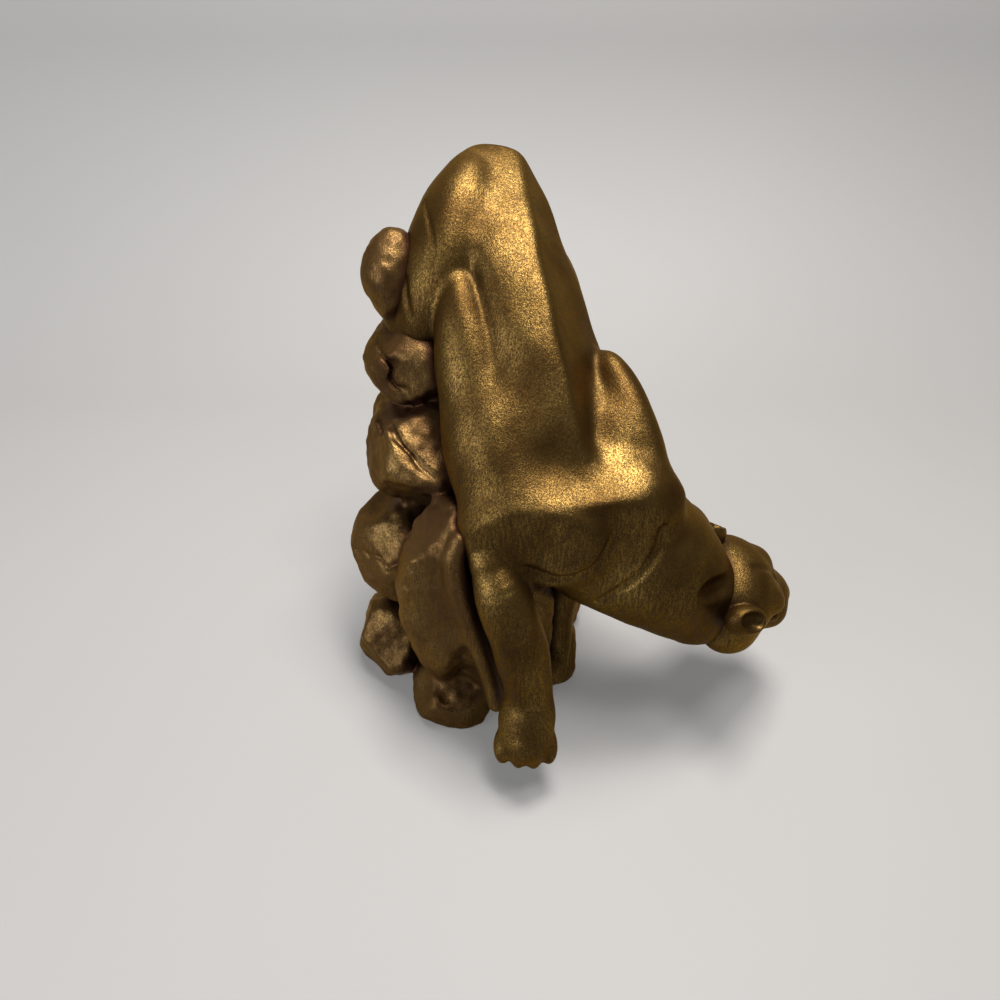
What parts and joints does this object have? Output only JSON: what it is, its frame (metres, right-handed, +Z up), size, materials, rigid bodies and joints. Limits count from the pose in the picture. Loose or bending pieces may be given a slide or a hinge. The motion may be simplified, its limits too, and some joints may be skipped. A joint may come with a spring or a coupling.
{
  "type": "cougar statue",
  "caption": "Gilt statuette of a cougar coming down a stack of boulders with its head turned aside, cast in one piece, standing on the flat underside of its rocks.",
  "frame": {"origin": "on the flat underside of the rocks, near its middle", "axes": "+Z up, +X the way that the cougar turns its head, -Y the side that the cougar comes down"},
  "size_m": [0.2893, 0.2383, 0.3298],
  "materials": {
    "gold": "brushed old gold paint over a red-brown ground, dark umber in the hollows, satin"
  },
  "bodies": {
    "root": {"cougar_on_rocks": "gold"}
  },
  "joints": []
}
